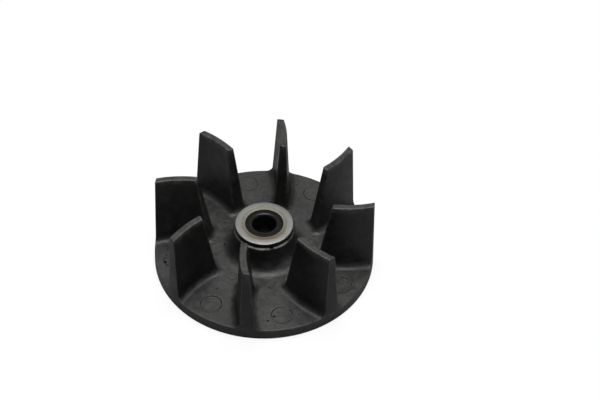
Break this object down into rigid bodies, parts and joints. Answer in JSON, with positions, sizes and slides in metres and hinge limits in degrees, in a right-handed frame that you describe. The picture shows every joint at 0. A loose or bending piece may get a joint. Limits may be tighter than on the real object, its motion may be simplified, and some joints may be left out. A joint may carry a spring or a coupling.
{
  "type": "pump impeller",
  "caption": "Dark moulded pump impeller: flat disc with tall curved blades round a hub that holds a flanged steel insert and a bush with a shaft bore.",
  "frame": {"origin": "centre of the disc's flat back face, on the axis of rotation", "axes": "+Z along the axis of rotation, from the back face towards the blades' tops; +X lies in the disc's plane, with the first blade's tip 36.15 degrees anticlockwise from it"},
  "size_m": [0.076, 0.076, 0.0305],
  "materials": {
    "body": "moulded, satin, slightly worn",
    "insert": "turned face, stained round its inner edge",
    "bush": "dark sintered metal, smooth mouth"
  },
  "bodies": {
    "root": {"impeller_body": "body", "hub_insert": "insert", "shaft_bush": "bush"}
  },
  "joints": []
}
